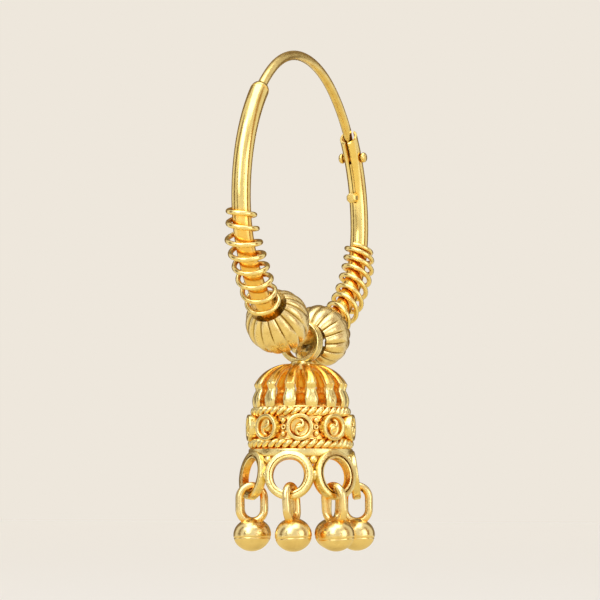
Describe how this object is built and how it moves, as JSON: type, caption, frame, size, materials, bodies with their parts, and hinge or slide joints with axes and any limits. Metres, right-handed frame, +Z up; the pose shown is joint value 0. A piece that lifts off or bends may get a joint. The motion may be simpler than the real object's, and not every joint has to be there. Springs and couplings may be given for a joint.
{
  "type": "jhumka hoop earring",
  "caption": "Hinged hoop earring of gold-plated brass with loose wire coils, fluted beads and an openwork dome bell fringed with bead drops.",
  "frame": {"origin": "underside of the ear wire's highest point, where the ear lobe carries the earring", "axes": "+Z up as worn, +X across the hoop towards its hinge, +Y along the hoop's axis, right-handed"},
  "size_m": [0.0295, 0.0135, 0.0473],
  "materials": {
    "polished_gold": "polished gold plate",
    "wire_gold": "drawn wire, gold plated, slightly darker",
    "satin_gold": "satin gold plate",
    "cast_gold": "cast and soldered, gold plated, semi-gloss",
    "drop_gold": "satin gold plate"
  },
  "bodies": {
    "hoop": {"hoop_tube": "polished_gold", "hinge_pin": "wire_gold", "coil_front": "wire_gold", "coil_back": "wire_gold", "bead_front": "satin_gold", "bead_back": "satin_gold"},
    "ear_wire": {"ear_wire": "wire_gold"},
    "bell": {"jhumka_bell": "cast_gold", "drop_1": "drop_gold", "drop_2": "drop_gold", "drop_3": "drop_gold", "drop_4": "drop_gold", "drop_5": "drop_gold", "drop_6": "drop_gold", "drop_7": "drop_gold"}
  },
  "joints": [
    {"name": "ear_wire_hinge", "type": "hinge", "parent": "hoop", "child": "ear_wire", "pos_m": [0.01226, 0, -0.00792], "axis": [0, 1, 0], "range_deg": [0, 60]},
    {"name": "bell_swing", "type": "hinge", "parent": "hoop", "child": "bell", "pos_m": [-0.00005, 0, -0.02613], "axis": [1, 0, 0], "range_deg": [-60, 60]}
  ]
}
